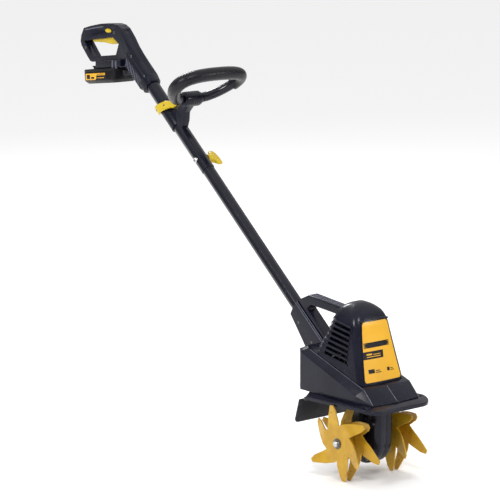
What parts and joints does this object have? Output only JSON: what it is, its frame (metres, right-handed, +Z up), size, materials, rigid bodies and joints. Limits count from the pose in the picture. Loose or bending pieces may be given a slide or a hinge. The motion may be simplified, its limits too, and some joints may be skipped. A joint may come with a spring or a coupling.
{
  "type": "battery garden tiller",
  "caption": "Battery garden tiller: tine discs on an axle under a covered motor head, telescoped shaft, loop handle, and rear grip with trigger and battery.",
  "frame": {"origin": "on the ground straight below the tine axle, halfway between the sides", "axes": "+Z up, -Y forwards, +X to the machine's left, in the working pose with the shaft leaning back"},
  "size_m": [0.1949, 1.078, 0.8679],
  "materials": {
    "navy_plastic": "moulded navy-black plastic, satin to glossy",
    "battery_plastic": "near-black moulded plastic",
    "grey_plastic": "dark grey moulded plastic",
    "yellow_plastic": "moulded yellow plastic, satin",
    "label_film": "printed orange-yellow film, satin",
    "tine_paint": "golden yellow paint on steel, slightly worn",
    "tube_paint": "navy-black powder coat, glossy",
    "foam": "dark foam, satin",
    "zinc_steel": "zinc-plated steel",
    "dark_steel": "oiled steel",
    "bronze": "machined bronze",
    "cell_wrap": "shrink-wrapped round cells",
    "rubber": "black rubber"
  },
  "bodies": {
    "root": {"deck_left": "navy_plastic", "deck_right": "navy_plastic", "motor_cover": "navy_plastic", "front_panel": "label_film", "carry_handle": "navy_plastic", "shaft_socket": "navy_plastic", "tine_shield": "navy_plastic", "rear_flap": "grey_plastic", "gear_case_left": "navy_plastic", "gear_case_right": "navy_plastic", "motor_can": "zinc_steel", "motor_end_cap": "grey_plastic", "motor_mount": "zinc_steel", "worm_bush": "bronze", "axle_bearing_left": "dark_steel", "axle_bearing_right": "dark_steel", "axle_seal_left": "rubber", "axle_seal_right": "rubber", "lower_tube": "tube_paint", "upper_tube": "tube_paint", "joint_bolt": "zinc_steel", "rear_handle_left": "navy_plastic", "rear_handle_right": "navy_plastic", "trigger_pin": "dark_steel", "trigger_switch": "battery_plastic", "battery_dock": "navy_plastic", "motor_lead": "rubber"},
    "tines": {"axle": "dark_steel", "tine_left_inner": "tine_paint", "tine_left_outer": "tine_paint", "tine_right_inner": "tine_paint", "tine_right_outer": "tine_paint", "tine_spacer_left": "tine_paint", "tine_spacer_right": "tine_paint", "end_washer_left": "zinc_steel", "end_washer_right": "zinc_steel", "end_bolt_left": "zinc_steel", "end_bolt_right": "zinc_steel", "worm_wheel": "bronze"},
    "motor_rotor": {"worm_shaft": "dark_steel", "rotor_core": "dark_steel", "cooling_fan": "grey_plastic"},
    "trigger_body": {"trigger": "yellow_plastic"},
    "lock_button": {"lock_off_button": "yellow_plastic"},
    "battery": {"battery_case": "battery_plastic", "battery_lid": "battery_plastic", "cell_pack": "cell_wrap"},
    "latch": {"battery_latch": "grey_plastic"},
    "loop_handle": {"loop_bracket": "navy_plastic", "loop_tube": "tube_paint", "loop_grip": "foam", "lever_pin": "dark_steel"},
    "lever": {"clamp_lever": "yellow_plastic"},
    "knob": {"joint_knob": "yellow_plastic"}
  },
  "joints": [
    {"name": "tine_spin", "type": "hinge", "parent": "root", "child": "tines", "pos_m": [0, 0, 0.081], "axis": [1, 0, 0], "continuous": true},
    {"name": "motor_spin", "type": "hinge", "parent": "root", "child": "motor_rotor", "pos_m": [0, 0.0375, 0.2], "axis": [0, 0, 1], "continuous": true},
    {"name": "trigger_pull", "type": "hinge", "parent": "root", "child": "trigger_body", "pos_m": [0, 0.846, 0.834], "axis": [1, 0, 0], "range_deg": [0, 4], "stiffness_Nm_per_rad": 0.5, "springref_deg": -6.88},
    {"name": "lock_off_push", "type": "slide", "parent": "root", "child": "lock_button", "axis": [1, 0, 0], "range_m": [-0.002, 0.002], "stiffness_N_per_m": 200},
    {"name": "battery_slide", "type": "slide", "parent": "root", "child": "battery", "axis": [0, 0.9932, -0.1167], "range_m": [0, 0.12]},
    {"name": "latch_pull", "type": "slide", "parent": "battery", "child": "latch", "axis": [0, -0.1167, -0.9932], "range_m": [0, 0.004], "stiffness_N_per_m": 100, "springref_m": -0.003},
    {"name": "loop_handle_slide", "type": "slide", "parent": "root", "child": "loop_handle", "axis": [0, 0.7649, 0.6441], "range_m": [-0.045, 0.035]},
    {"name": "clamp_lever_swing", "type": "hinge", "parent": "loop_handle", "child": "lever", "pos_m": [0, 0.63717, 0.70855], "axis": [0, 0.7649, 0.6441], "range_deg": [0, 100]},
    {"name": "knob_turn", "type": "hinge", "parent": "root", "child": "knob", "pos_m": [0.03, 0.54673, 0.59317], "axis": [1, 0, 0], "continuous": true}
  ],
  "couplings": [
    {"joint": "motor_spin", "follows": "tine_spin", "ratio": -30}
  ]
}
